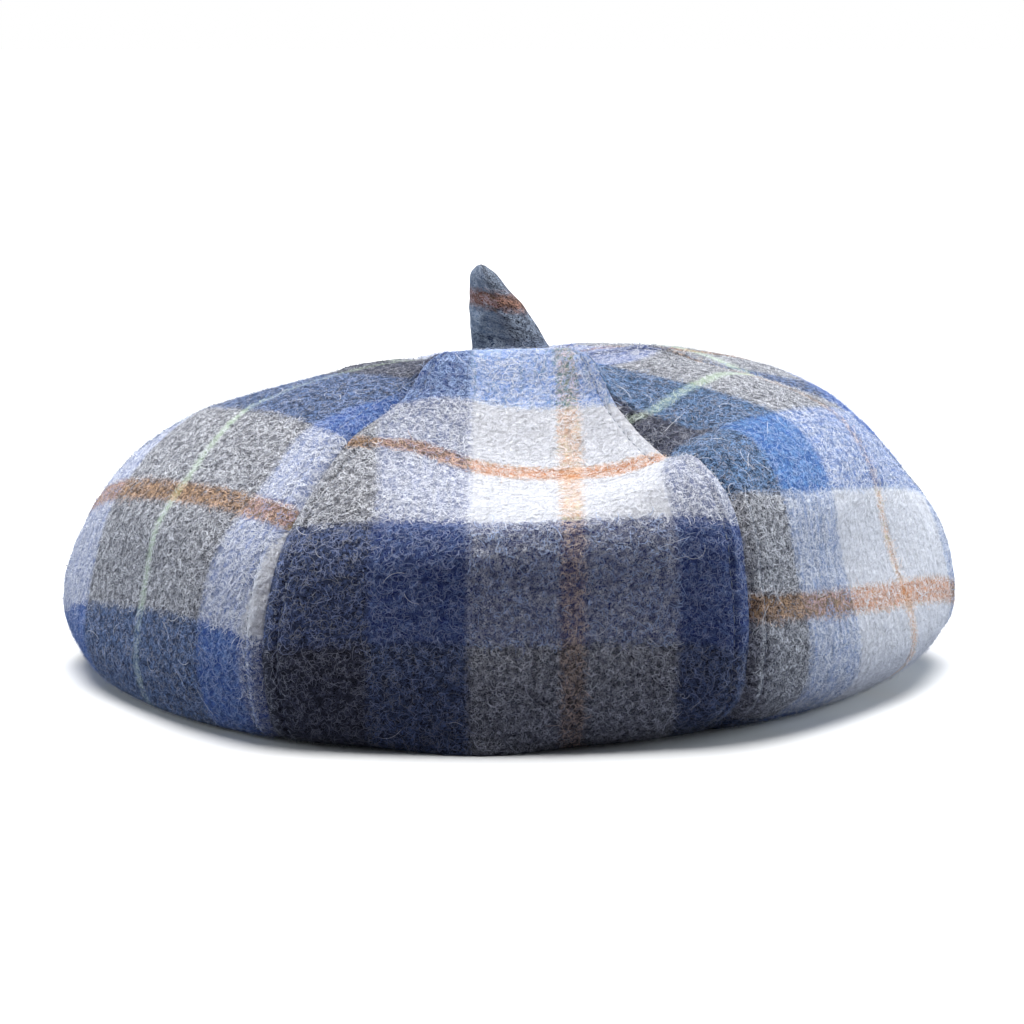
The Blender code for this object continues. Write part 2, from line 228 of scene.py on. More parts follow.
# gammas of the painted shade in the hollows between fibres and of the painted light on the fibres
HOLLOW_SHADE_GAMMA, FIBRE_LIGHT_GAMMA = 1.70, 0.77
FIBRE_TINT, FIBRE_TINT_SHARE = (0.62, 0.74, 1.0), 0.06
FIBRE_CURLS = ((1000.0, 1.5, 0.075), (1700.0, 1.1, 0.075))  # features for each metre, curl and thinness
TUFTS, SPECKLE, BARE_PATCHES, WANDER = 380.0, 1500.0, 130.0, 240.0  # features for each metre
NAP_BUMP, NAP_BUMP_HEIGHT = 0.8, 0.6 * MM
SHEEN_TINT = (0.75, 0.83, 1.0)

PHOTO_SIDE, CAMERA_SHIFT = 1024, 2  # pixels
CAMERA_REACH = 50.0
FLOOR_HALF, FLOOR_DROP = 6.0, 0.2 * MM
FLOOR_BOUNCE = (0.16, 0.165, 0.21)
SOFTBOX_SIZE, SOFTBOX_COLOUR, SOFTBOX_AIM = 0.7, (0.85, 0.94, 1.0), Vector((0, 0, 0.05))
# name, share of the side lights' power, and place
SOFTBOXES = (("right_softbox", 1.45, (1.20, 0.20, 0.26)), ("left_softbox", 1.0, (-1.20, 0.05, 0.24)))
OVERHEAD_TILT = -12.0
ROOM_COLOUR = (0.76, 0.77, 1.0)


def colour_property(name, description, default):
    return FloatVectorProperty(
        name=name, description=description, subtype="COLOR", size=3, min=0.0, max=1.0, default=default
    )


def length_property(name, description, default):
    return FloatProperty(
        name=name, description=description, unit="LENGTH", min=0.0, precision=4, default=default
    )


def share_property(name, description, default):
    return FloatProperty(name=name, description=description, subtype="FACTOR", min=0, max=1, default=default)


def angle_property(name, description, degrees):
    return FloatProperty(name=name, description=description, subtype="ANGLE", default=math.radians(degrees))


class HatSizes(bpy.types.PropertyGroup):
    body_radius: length_property("Body radius", "Middle of the hat to the widest part of its rim", 0.1425)
    crown_height: length_property("Crown height", "Surface under the hat to the crown beside the stem", 0.100)
    opening_radius: length_property("Opening radius", "Head opening at its turned hem", 0.090)
    cloth_thickness: length_property("Cloth thickness", "Brushed wool cloth", 0.002)
    hem_width: length_property("Hem width", "Width of the turned hem inside the opening", 0.012)
    hem_thickness: length_property("Hem thickness", "Cloth and its turned hem together", 0.0032)
    stem_height: length_property("Stem height", "Stem seat to stem tip", 0.0312)
    stem_radius: length_property("Stem radius", "Stem at its foot", 0.0130)
    gore_puff: FloatProperty(
        name="Gore puff", description="How flat a gore is between its seams", min=1.0, max=6.0, default=2.3
    )
    allowance: length_property("Seam allowance", "Width of the pressed seam allowance inside", 0.008)
    groove: length_property("Seam groove", "How deep the cloth dips at a seam", 0.0016)


class HatStitching(bpy.types.PropertyGroup):
    row_distance: length_property("Row distance", "Topstitching to the seam", 0.0055)
    length: length_property("Stitch length", "Visible part of one stitch", 0.0023)
    pitch: length_property("Stitch pitch", "Start of one stitch to the next", 0.0034)
    thread: length_property("Thread", "Thickness of the sewing thread", 0.00034)
    colour: colour_property("Thread colour", "Sewing thread", (0.30, 0.34, 0.42))


class HatCloth(bpy.types.PropertyGroup):
    white: colour_property("White", "White yarn", (0.790, 0.797, 0.837))
    blue: colour_property("Blue", "Blue yarn", (0.085, 0.185, 0.490))
    denim: colour_property("Denim", "Greyer blue yarn of the front warp", (0.068, 0.125, 0.340))
    # painted light: a lighter copy of the blue yarn for the front's weft band beside the crown, where the
    # overhead light falls
    sky: colour_property("Sky blue", "Light blue yarn near the crown", (0.320, 0.480, 0.820))
    # painted shade: a darker copy of the blue yarn for the front wall's weft band, which lies in shade
    navy: colour_property("Navy", "Dark blue yarn of the front wall", (0.036, 0.078, 0.285))
    azure: colour_property("Azure", "Brighter blue yarn at the right", (0.075, 0.225, 0.540))
    charcoal: colour_property("Charcoal", "Charcoal yarn", (0.029, 0.028, 0.060))
    orange: colour_property("Orange", "Tan orange overcheck yarn", (0.72, 0.360, 0.115))
    peach: colour_property("Peach", "Paler overcheck yarn of the warp", (0.84, 0.60, 0.43))
    green: colour_property("Green", "Pale green overcheck yarn", (0.50, 0.62, 0.44))
    slate: colour_property("Slate", "Stem cloth", (0.290, 0.355, 0.470))
    blueslate: colour_property("Blue slate", "Foot of the stem", (0.120, 0.165, 0.260))
    rust: colour_property("Rust", "Band round the stem", (0.420, 0.145, 0.040))
    twill: share_property("Twill", "How plainly the twill lines show", 0.22)
    warp_share: share_property("Warp share", "How much of the face is warp", 0.49)
    thread_pitch: length_property("Thread pitch", "Distance between neighbouring yarns", 0.00085)
    nap_per_gore: IntProperty(name="Nap", description="Fibres on each gore", min=0, max=20000, default=12000)
    nap_width: length_property("Nap width", "Width of one fibre", 0.00014)


class HatStage(bpy.types.PropertyGroup):
    camera_distance: length_property("Camera distance", "Camera to the foot of the hat", 1.1)
    camera_elevation: angle_property("Camera elevation", "Camera's height above the hat's foot", 12.0)
    camera_pitch: angle_property("Camera pitch", "How far down the camera looks", 9.53)
    lens: FloatProperty(name="Lens", description="Focal length", unit="CAMERA", default=120.4)
    key_strength: FloatProperty(name="Overhead light", description="Wide soft light from above", default=5.8)
    key_spread: angle_property("Overhead spread", "How wide the overhead light is", 58.0)
    side_power: FloatProperty(
        name="Side lights", description="Left softbox, weaker than the right one", unit="POWER", default=8.5
    )
    floor_colour: colour_property("Floor colour", "Plain pale floor", (0.93, 0.93, 0.93))
    world_strength: FloatProperty(name="Surroundings", description="Light from all around", default=0.022)


def sizes():
    return bpy.context.scene.hat_sizes


def stitching():
    return bpy.context.scene.hat_stitching


def cloth():
    return bpy.context.scene.hat_cloth


def section_stations(azimuth):
    """Radius and height of one section's stations, in metres."""
    s = sizes()
    row = next(dict(zip(SECTION_COLUMNS, v)) for v in SECTIONS if v[0] == azimuth % FULL_TURN)
    crest_r, brow_r, shelf_r = SEAM_RADII if azimuth % (2 * HALF_GORE) else MIDDLE_RADII
    crown = (
        (crest_r, row["crest_z"]), (brow_r, row["brow_z"]), (shelf_r, row["shelf_z"]),
        (row["shoulder_r"], row["shoulder_z"]), (row["haunch_r"], row["haunch_z"]),
        (row["wall_r"], WALL_HEIGHT), (row["rim_r"], row["rim_z"]), (row["turn_r"], row["turn_z"]),
        (row["rest_r"], 0.0),
    )
    points = [(s.stem_radius, SEAT_HEIGHT * s.crown_height)]
    points += [(r * s.body_radius, z * s.crown_height) for r, z in crown]
    points.append((s.opening_radius, 0.0))
    return np.array(points)


def station_weights(way):
    """How much each station counts at each share of the way: a smooth curve through the stations."""
    knots = np.array(STATION_WAYS)
    count = len(knots)
    unit = np.eye(count)
    before = np.maximum(np.arange(count) - 1, 0)
    after = np.minimum(np.arange(count) + 1, count - 1)
    slope = (unit[after] - unit[before]) / (knots[after] - knots[before])[:, None]
    lower = np.clip(np.searchsorted(knots, way, side="right") - 1, 0, count - 2)
    span = (knots[lower + 1] - knots[lower])[:, None]
    x = (way - knots[lower])[:, None] / span
    return (
        (2 * x**3 - 3 * x**2 + 1) * unit[lower]
        + (x**3 - 2 * x**2 + x) * span * slope[lower]
        + (3 * x**2 - 2 * x**3) * unit[lower + 1]
        + (x**3 - x**2) * span * slope[lower + 1]
    )


def section_curve(azimuth, way):
    points = station_weights(way) @ section_stations(azimuth)
    angle = np.radians(azimuth)
    radius = points[:, 0]
    return np.stack([radius * np.sin(angle), -radius * np.cos(angle), points[:, 1]], axis=1)


def unit_vectors(vectors):
    return vectors / np.maximum(np.linalg.norm(vectors, axis=-1, keepdims=True), TINY)


def grid_normals(points):
    """Outward unit normals of a grid of points, rows along the cloth and columns round it."""
    return unit_vectors(np.cross(np.gradient(points, axis=0), np.gradient(points, axis=1)))


def fold_depths(points, way):
    """Inward distance that the dents and folds press each point."""
    azimuth = np.degrees(np.arctan2(points[..., 0], -points[..., 1]))
    depth = np.zeros(azimuth.shape)
    for values in FOLDS:
        fold = dict(zip(FOLD_COLUMNS, values))
        turned = np.radians(fold["turned_deg"])
        aside = (azimuth - fold["azimuth"] + FULL_TURN / 2) % FULL_TURN - FULL_TURN / 2
        x = aside / fold["round_deg"]
        y = (way[:, None] - fold["way"]) / fold["along"]
        u = x * np.cos(turned) + y * np.sin(turned)
        v = y * np.cos(turned) - x * np.sin(turned)
        depth += fold["depth"] * sizes().crown_height * np.exp(-(u**2) - v**2)
    return depth


def gore_surface(azimuth, side, way):
    """Smooth outer face of a gore. side has a value from -1 to 1 for each row and column."""
    left = section_curve(azimuth - HALF_GORE, way)[:, None]
    right = section_curve(azimuth + HALF_GORE, way)[:, None]
    middle = section_curve(azimuth, way)[:, None]
    s = side[:, :, None]
    flat = (1 - s) / 2 * left + (1 + s) / 2 * right
    points = flat + (1 - np.abs(s) ** sizes().gore_puff) * (middle - (left + right) / 2)
    pressed = fold_depths(points, way)[..., None] * (1 - s**4)
    points = points - grid_normals(points) * pressed
    points[..., 2] = np.maximum(points[..., 2], 0.0)
    return points


def seam_plane_normal(azimuth):
    angle = np.radians(azimuth)
    return np.array([np.cos(angle), np.sin(angle), 0.0])


def hat_shift():
    """How far the solid parts were moved to stand centred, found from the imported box."""
    low, high = np.array(CAD_BOX[0]), np.array(CAD_BOX[1])
    side = np.tile(np.linspace(-1, 1, SOLID_COLUMNS), (SOLID_ROWS, 1))
    way = np.linspace(0, 1, SOLID_ROWS)
    points = np.concatenate([gore_surface(a, side, way).reshape(-1, 3) for _, a, *_ in GORES])
    middle = (points.min(axis=0) + points.max(axis=0)) / 2
    return np.array([(low[0] + high[0]) / 2 - middle[0], (low[1] + high[1]) / 2 - middle[1], low[2]])


def distances_along(points, axis):
    """Distance over a grid of points from its first row (axis 0) or its first column (axis 1)."""
    steps = np.cumsum(np.linalg.norm(np.diff(points, axis=axis), axis=2), axis=axis)
    return np.insert(steps, 0, 0.0, axis=axis)


def fabric_coordinates(index, way):
    """How the cloth lies on a gore: for each row, side shares and the cloth's own across and along."""
    name, azimuth, lean, tilt, bow = GORES[index][:5]
    side = np.linspace(-1, 1, SMOOTH_COLUMNS)
    points = gore_surface(azimuth, np.tile(side, (len(way), 1)), way)
    across = distances_along(points, 1)
    across = across - across[:, SMOOTH_COLUMNS // 2, None]
    radius = np.linalg.norm(points[..., :2], axis=2)
    along = radius[0] + distances_along(points, 0) - WEFT_SAG * radius * side**2
    along += tilt * MM * (1 + side) - bow * MM * side**2
    for values in PULLS.get(name, ()):
        pull = dict(zip(PULL_COLUMNS, values))
        x = (side - pull["side"]) / pull["width"]
        y = (along / MM - pull["along"]) / pull["spread"]
        along = along + pull["pull"] * MM * np.exp(-(x**2) - y**2)
    straight = np.clip((along / MM - LEAN_FROM) / (LEAN_TO - LEAN_FROM), 0, 1)
    across = across + lean * MM * (1 - straight**2 * (3 - 2 * straight))
    return side, across, along


def noise_at(points, scale, seed):
    """Smooth noise between about -1 and 1 at points, with features about scale metres long."""
    flat = points.reshape(-1, 3) / scale + seed
    values = np.fromiter((noise.noise(Vector(p)) for p in flat), float, len(flat))
    return values.reshape(points.shape[:-1])


def waves(points, layers):
    """Soft unevenness in metres: the sum of layers, each with a height, a length and a seed."""
    return sum(height * MM * noise_at(points, length * MM, seed) for height, length, seed in layers)


def ridge(distance, height, centre, width):
    """A rounded ridge beside a seam or an edge. distance is in metres and the rest in mm."""
    return height * MM * np.exp(-(((distance / MM - centre) / width) ** 2))


def fade(distance, width):
    """From 0 at no distance to 1 at width, which is in mm."""
    return np.clip(distance / (width * MM), 0, 1)


def gore_grids(index):
    """Outer and inner grid of a finished gore, its normals, and where each point lies on the cloth."""
    azimuth = GORES[index][1]
    s = sizes()
    way = np.linspace(0, 1, GORE_ROWS + 1)
    smooth_side = np.linspace(-1, 1, SMOOTH_COLUMNS)
    run = distances_along(gore_surface(azimuth, np.tile(smooth_side, (len(way), 1)), way), 1)
    width = run[:, -1]
    close = np.array(SEAM_COLUMNS_MM) * MM
    rows = []
    for row_run, row_width in zip(run, width):
        near = close * min(1.0, 0.5 * row_width / (close[-1] * CLOSE_SHARE))
        rest = np.linspace(near[-1], row_width / 2, MIDDLE_COLUMNS + 1)[1:]
        half = np.concatenate([near, rest])
        distance = np.concatenate([half, row_width - half[::-1][1:]])
        rows.append(np.interp(distance, row_run, smooth_side))
    side = np.array(rows)
    side[:, 0] = -1
    side[:, -1] = 1
    base = gore_surface(azimuth, side, way)
    across_run = distances_along(base, 1)
    seam_distance = np.minimum(across_run, across_run[:, -1:] - across_run)
    normals = grid_normals(base)
    lying = base[..., 2] <= TINY
    normals[lying] = (0.0, 0.0, -1.0)
    left, right = azimuth - HALF_GORE, azimuth + HALF_GORE
    for seam, halves in ((left, side < 0), (right, side > 0)):
        plane = seam_plane_normal(seam)
        share = np.where(halves, side**4, 0.0)[..., None]
        normals = normals - share * (normals @ plane)[..., None] * plane
    normals = unit_vectors(normals)

    length_run = distances_along(base, 0)
    to_edge = length_run[-1:] - length_run
    fit = np.clip(width / (FULL_WIDTHS * close[-1]), 0, 1)[:, None]
    d = seam_distance / np.maximum(fit, LEAST_FIT)
    sewn = (
        -s.groove * (1 - fade(d, GROOVE_WIDTH)) ** 2 + ridge(d, *ALLOWANCE_RIDGE) + ridge(d, *OUTER_ROLL)
        + ridge(d, STITCH_SINK, stitching().row_distance / MM, STITCH_SINK_WIDTH)
    )
    # both gores of a seam pucker alike, since the noise is read at the seam's azimuth
    seam_key = np.where(side < 0, left, right) % FULL_TURN * PUCKERS[0][0]
    for length, seed, where in PUCKERS:
        places = np.stack([length_run / MM, seam_key, np.zeros_like(side)], axis=-1)
        sewn = sewn + noise_at(places, length, seed) * ridge(d, *where)
    raised = fade(base[..., 2], CALM_AT_FLOOR)
    uneven = waves(base, CLOTH_WAVES) * fade(seam_distance, CALM_AT_SEAM) + waves(base, CLOTH_LUMPS)
    moved = sewn * fit * np.clip(raised + SEWN_AT_FLOOR, 0, 1) + uneven * raised
    outer = base + normals * moved[..., None]
    outer[..., 2] = np.maximum(outer[..., 2], 0.0)
    lift = ridge(to_edge, *HEM_HOLLOW) + LIFT_AT_SEAM * MM * (1 - fade(seam_distance, LIFT_WIDTH))
    outer[lying, 2] += lift[lying]

    hem = fade(s.hem_width - to_edge, THICKNESS_STEP)
    folded = fade(s.allowance - seam_distance, THICKNESS_STEP) * fit * (1 - hem)
    thickness = s.cloth_thickness + (s.hem_thickness - s.cloth_thickness) * hem
    thickness = thickness + ALLOWANCE_THICKNESS * MM * folded
    inner = base - normals * thickness[..., None]
    for column, seam, inward in ((0, left, 1.0), (-1, right, -1.0)):
        for grid in (outer, inner):
            grid[:, column] += seam_plane_normal(seam) * inward * SEAM_CLEARANCE * MM
    smooth_sides, across, along = fabric_coordinates(index, way)
    u, v = (
        np.array([np.interp(row, smooth_sides, values) for row, values in zip(side, grid)])
        for grid in (across, along)
    )
    return {
        "outer": outer + hat_shift(), "inner": inner + hat_shift(), "normals": grid_normals(outer),
        "u": u, "v": v, "seam_distance": seam_distance, "to_edge": to_edge, "lying": lying, "fit": fit[:, 0],
    }


def put_in_scene(name, data):
    made = bpy.data.objects.new(name, data)
    bpy.context.scene.collection.objects.link(made)
    return made


def mesh_piece(name, vertices, faces, materials, slots=None, uvs=None, smooth=True):
    """A mesh object from arrays of points and of equally long faces, with one UV pair per vertex."""
    mesh = bpy.data.meshes.new(name)
    vertices = np.asarray(vertices, dtype=np.float32)
    faces = np.asarray(faces, dtype=np.int32)
    corners = faces.shape[1]
    mesh.vertices.add(len(vertices))
    mesh.vertices.foreach_set("co", vertices.ravel())
    mesh.loops.add(faces.size)
    mesh.loops.foreach_set("vertex_index", faces.ravel())
    mesh.polygons.add(len(faces))
    mesh.polygons.foreach_set("loop_start", np.arange(len(faces), dtype=np.int32) * corners)
    for material in materials:
        mesh.materials.append(material)
    if slots is not None:
        mesh.polygons.foreach_set("material_index", np.asarray(slots, dtype=np.int32))
    if uvs is not None:
        layer = mesh.uv_layers.new(name="cloth")
        layer.uv.foreach_set("vector", np.asarray(uvs, dtype=np.float32)[faces.ravel()].ravel())
    mesh.update(calc_edges=True)
    mesh.validate()
    mesh.polygons.foreach_set("use_smooth", np.full(len(mesh.polygons), smooth))
    return put_in_scene(name, mesh)


def settle(piece, node=None):
    """Lets a piece ride on the hat's one body and in place of the solid it stands for."""
    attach(piece, "root")
    if node:
        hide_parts(node)


def grid_faces(numbers):
    """Quads of a grid of vertex numbers."""
    quads = np.stack([numbers[:-1, :-1], numbers[1:, :-1], numbers[1:, 1:], numbers[:-1, 1:]], axis=-1)
    return quads.reshape(-1, 4)


def edge_faces(outer, inner):
    """Quads between two equally long runs of vertex numbers."""
    return np.stack([outer[:-1], inner[:-1], inner[1:], outer[1:]], axis=-1)


def tube_triangles(rings, sides):
    """Triangles of an open tube whose points are numbered ring by ring."""
    low = np.arange(rings * sides).reshape(rings, sides)
    after = np.roll(low, -1, axis=1)
    a, b, c, d = low[:-1], after[:-1], after[1:], low[1:]
    return np.concatenate([np.stack(corners, axis=-1).reshape(-1, 3) for corners in ((a, b, c), (a, c, d))])


class Tree:
    """Short calls for adding and joining nodes."""

    def __init__(self, tree):
        self.tree = tree
        self.shader = tree.nodes.get("Principled BSDF")

    def node(self, kind, label="", **values):
        made = self.tree.nodes.new(kind)
        made.label = label
        for key, value in values.items():
            setattr(made, key, value)
        return made

    def feed(self, target, value):
        if isinstance(value, bpy.types.NodeSocket):
            self.tree.links.new(value, target)
        else:
            target.default_value = value

    def feed_all(self, node, values):
        for place, value in zip(node.inputs, values):
            self.feed(place, value)
        return node.outputs[0]

    def fill(self, node, **values):
        """Sets or joins a node's inputs by name, with underscores for spaces."""
        for key, value in values.items():
            self.feed(node.inputs[key.replace("_", " ")], value)
        return node.outputs

    def math(self, operation, *values, clamp=False, label=""):
        return self.feed_all(self.node("ShaderNodeMath", label, operation=operation, use_clamp=clamp), values)

    def vector(self, x, y):
        return self.feed_all(self.node("ShaderNodeCombineXYZ"), (x, y))

    def parts(self, vector):
        return self.fill(self.node("ShaderNodeSeparateXYZ"), Vector=vector)

    def lie(self, label):
        """Across and along the cloth or the thread, in metres."""
        return self.parts(self.node("ShaderNodeUVMap", label, uv_map="cloth").outputs[0])[:2]

    def noise(self, vector, scale, detail=2.0, roughness=0.5, distortion=0.0, label=""):
        return self.fill(
            self.node("ShaderNodeTexNoise", label), Vector=vector, Scale=scale, Detail=detail,
            Roughness=roughness, Distortion=distortion,
        )["Fac"]

    def smooth_step(self, value, low, high, to_low=0.0, to_high=1.0, label=""):
        made = self.node("ShaderNodeMapRange", label, interpolation_type="SMOOTHSTEP")
        ends = {"From Min": low, "From Max": high, "To Min": to_low, "To Max": to_high}
        return self.fill(made, Value=value, **ends)["Result"]

    def gamma(self, colour, power, label):
        return self.fill(self.node("ShaderNodeGamma", label), Color=colour, Gamma=power)[0]

    def mix(self, share, a, b, blend="MIX", label=""):
        made = self.node("ShaderNodeMix", label, data_type="RGBA", blend_type=blend)
        self.feed(made.inputs["Factor"], share)
        for key, item in (("A", a), ("B", b)):
            self.feed(next(p for p in made.inputs if p.name == key and p.type == "RGBA"), item)
        return next(p for p in made.outputs if p.type == "RGBA")

    def group(self, tree, **values):
        made = self.node("ShaderNodeGroup")
        made.node_tree = tree
        return self.fill(made, **values)

    def bright_to_camera(self, plain, bright, output):
        """Shows the camera the bright shader, and every other ray the plain one."""
        seen = self.node("ShaderNodeLightPath").outputs["Is Camera Ray"]
        self.feed(output, self.feed_all(self.node("ShaderNodeMixShader"), (seen, plain, bright)))


def new_group(name, inputs, outputs):
    """A node group with named sockets: its tree, its helper, what it is given and its output node."""
    tree = bpy.data.node_groups.new(name, "ShaderNodeTree")
    for in_out, rows in (("INPUT", inputs), ("OUTPUT", outputs)):
        for label, kind, *default in rows:
            made = tree.interface.new_socket(name=label, in_out=in_out, socket_type=f"NodeSocket{kind}")
            if default:
                made.default_value = default[0]
    t = Tree(tree)
    return tree, t, t.node("NodeGroupInput").outputs, t.node("NodeGroupOutput")


def sett_changes(words):
    """Colours of a sett and the places where they change, from words such as "blue 12 white"."""
    parts = words.split()
    return parts[0::2], np.array([float(p) for p in parts[1::2]])


def sett_colours(t, place, words, label):
    """Yarn colours along one direction of the cloth, as a ramp over place in metres."""
    span = SETT_HIGH - SETT_LOW
    ramp = t.node("ShaderNodeValToRGB", label)
    t.feed(ramp.inputs[0], t.math("MULTIPLY_ADD", place, 1 / (span * MM), -SETT_LOW / span))
    names, changes = sett_changes(words)
    elements = ramp.color_ramp.elements
    elements.remove(elements[1])
    elements[0].color = yarn_colour(names[0])
    for change, before, after in zip(changes, names, names[1:]):
        for at, yarn in ((change - SETT_BLUR, before), (change + SETT_BLUR, after)):
            elements.new((at - SETT_LOW) / span).color = yarn_colour(yarn)
    return ramp.outputs[0]


def curls(t, place, layers):
    """A mask of thin curled lines: the contours of a few warped noise fields."""
    lines = None
    for scale, spread, thin in layers:
        field = t.noise(place, scale, detail=1.0, roughness=0.45, distortion=spread)
        away = t.math("ABSOLUTE", t.math("SUBTRACT", field, 0.5))
        line = t.smooth_step(away, 0.35 * thin, thin, 1.0, 0.0)
        lines = line if lines is None else t.math("MAXIMUM", lines, line)
    return lines


def twill_group():
    """Which yarn shows on the face of a brushed two by two twill: 1 is warp, 0 is weft."""
    tree, t, given, out = new_group(
        "brushed twill",
        (
            ("Cloth", "Vector"), ("Pitch", "Float", 0.001), ("Warp Share", "Float", 0.5),
            ("Twill Lines", "Float", 0.1),
        ),
        (("Warp On Top", "Float"), ("Relief", "Float")),
    )
    lie = given["Cloth"]
    x, y, _ = t.parts(lie)
    wander = t.noise(lie, WANDER, detail=1.0, label="yarns wander")
    line = t.math("DIVIDE", t.math("ADD", x, y), given["Pitch"])
    turns = t.math("MULTIPLY", t.math("MULTIPLY_ADD", wander, 3.0, line), math.pi / 2)
    ribs = t.math("SINE", turns, label="twill lines")
    broken = t.smooth_step(t.noise(lie, BARE_PATCHES, detail=1.0), 0.38, 0.62, label="twill brushed out")
    ribs = t.math("MULTIPLY", t.math("MULTIPLY", ribs, broken), given["Twill Lines"])
    speckle = t.noise(lie, SPECKLE, detail=1.0, label="yarn speckle")
    spread = t.math("MULTIPLY_ADD", speckle, 0.9, -0.45)
    over = t.math("ADD", t.math("ADD", ribs, spread), given["Warp Share"], clamp=True)
    t.fill(out, Warp_On_Top=over, Relief=ribs)
    return tree


def nap_group():
    """Curly brushed fibres as a mask of thin lines, the tufts that they form, and their height."""
    tree, t, given, out = new_group(
        "brushed nap", (("Place", "Vector"),), (("Fibres", "Float"), ("Tufts", "Float"), ("Height", "Float"))
    )
    lines = curls(t, given["Place"], FIBRE_CURLS)
    tufts = t.noise(given["Place"], TUFTS, detail=3.0, roughness=0.65, label="tufts")
    height = t.math("MULTIPLY_ADD", tufts, 0.7, t.math("MULTIPLY", lines, 0.7))
    t.fill(out, Fibres=lines, Tufts=tufts, Height=height)
    return tree


def heather_group():
    """Yarns that are a little lighter and darker along their length."""
    tree, t, given, out = new_group(
        "heathered yarn",
        (
            ("Colour", "Color", (0.5, 0.5, 0.5, 1.0)), ("Along", "Float"), ("Across", "Float"),
            ("Strength", "Float", 0.3),
        ),
        (("Colour", "Color"),),
    )
    across, along = HEATHER_STREAKS
    place = t.vector(t.math("MULTIPLY", given["Across"], across), t.math("MULTIPLY", given["Along"], along))
    streak = t.math("SUBTRACT", t.noise(place, 1.0), 0.5)
    level = t.math("MULTIPLY_ADD", streak, t.math("MULTIPLY", given["Strength"], 2.0), 1.0)
    scaled = t.fill(t.node("ShaderNodeVectorMath", operation="SCALE"), Vector=given["Colour"], Scale=level)
    t.fill(out, Colour=scaled[0])
    return tree


def shared_group(name, maker):
    return bpy.data.node_groups.get(name) or maker()


def rgba(colour):
    return (*colour, 1.0)


def yarn_colour(name):
    return rgba(getattr(cloth(), name))


def new_material(name):
    material = bpy.data.materials.new(name)
    material.use_nodes = True
    return material, Tree(material.node_tree)


def plaid_material(name, warp, weft, warp_share=None):
    """Brushed plaid wool. warp and weft say where the yarns change colour, in mm on the cloth."""
    c = cloth()
    material, t = new_material(name)
    x, y = t.lie("cloth lie")
    place = t.vector(x, y)
    yarns = []
    ways = ((x, WARP_STRAYS, warp, "warp yarns"), (y, WEFT_STRAYS, weft, "weft yarns"))
    for way, scale, words, label in ways:
        stray = t.math("MULTIPLY_ADD", t.noise(place, scale), STRAY, -STRAY / 2)
        yarns.append(sett_colours(t, t.math("ADD", way, stray), words, label))
    warp_yarn, weft_yarn = yarns
    # the fibres of a white weft hide much of a blue warp, and those of a dark weft do not
    warp_red, _, warp_blue = t.parts(warp_yarn)
    blueness = t.math("SUBTRACT", warp_blue, warp_red)
    hidden = t.math("MULTIPLY", t.math("MULTIPLY", blueness, t.parts(weft_yarn)[0]), WHITE_HIDES, clamp=True)
    warp_yarn = t.mix(hidden, warp_yarn, weft_yarn, label="warp under a white weft")
    heather = shared_group("heathered yarn", heather_group)
    warp_yarn = t.group(heather, Colour=warp_yarn, Along=y, Across=x, Strength=HEATHERING)[0]
    weft_yarn = t.group(heather, Colour=weft_yarn, Along=x, Across=y, Strength=HEATHERING)[0]
    twill = t.group(
        shared_group("brushed twill", twill_group), Cloth=place, Pitch=c.thread_pitch, Twill_Lines=c.twill,
        Warp_Share=c.warp_share if warp_share is None else warp_share,
    )
    woven = t.mix(twill["Warp On Top"], weft_yarn, warp_yarn, label="weave")
    nap = t.group(shared_group("brushed nap", nap_group), Place=place)
    # the hollows between the fibres show the darker yarn, darkened further as painted shade, and the fibres
    # themselves the lighter one, brightened as painted light
    darkest = t.mix(1.0, warp_yarn, weft_yarn, blend="DARKEN")
    lightest = t.mix(1.0, warp_yarn, weft_yarn, blend="LIGHTEN")
    darker = t.mix(TOWARD_DARKER, woven, darkest, label="toward the darker yarn")
    lighter = t.mix(TOWARD_LIGHTER, woven, lightest, label="toward the lighter yarn")
    lighter = t.mix(FIBRE_TINT_SHARE, lighter, rgba(FIBRE_TINT))
    deep = t.gamma(darker, HOLLOW_SHADE_GAMMA, "hollows between fibres")
    raised = t.gamma(lighter, FIBRE_LIGHT_GAMMA, "fibres in the light")
    share = t.math("MULTIPLY", nap["Fibres"], t.smooth_step(nap["Tufts"], 0.34, 0.62, 0.35, 1.0))
    relief = t.math("ADD", twill["Relief"], nap["Height"])
    bump = t.fill(t.node("ShaderNodeBump"), Strength=NAP_BUMP, Distance=NAP_BUMP_HEIGHT, Height=relief)
    t.fill(
        t.shader, Base_Color=t.mix(share, deep, raised, label="nap over weave"), Roughness=0.93,
        Specular_IOR_Level=0.15, Sheen_Weight=0.12, Sheen_Roughness=0.5, Sheen_Tint=rgba(SHEEN_TINT),
        Normal=bump[0],
    )
    return material


def plain_material(name, colour, roughness=0.9, sheen=0.2, specular=0.25):
    material, t = new_material(name)
    t.fill(
        t.shader, Base_Color=rgba(colour), Roughness=roughness, Specular_IOR_Level=specular,
        Sheen_Weight=sheen,
    )
    return material


def floor_material(colour):
    """Pale paper that throws little light back up under the hat."""
    material = plain_material("pale_floor", colour, sheen=0.0, specular=0.0)
    t = Tree(material.node_tree)
    dim = t.fill(t.node("ShaderNodeBsdfDiffuse"), Color=rgba(FLOOR_BOUNCE))[0]
    t.bright_to_camera(dim, t.shader.outputs[0], t.tree.nodes["Material Output"].inputs[0])
    return material


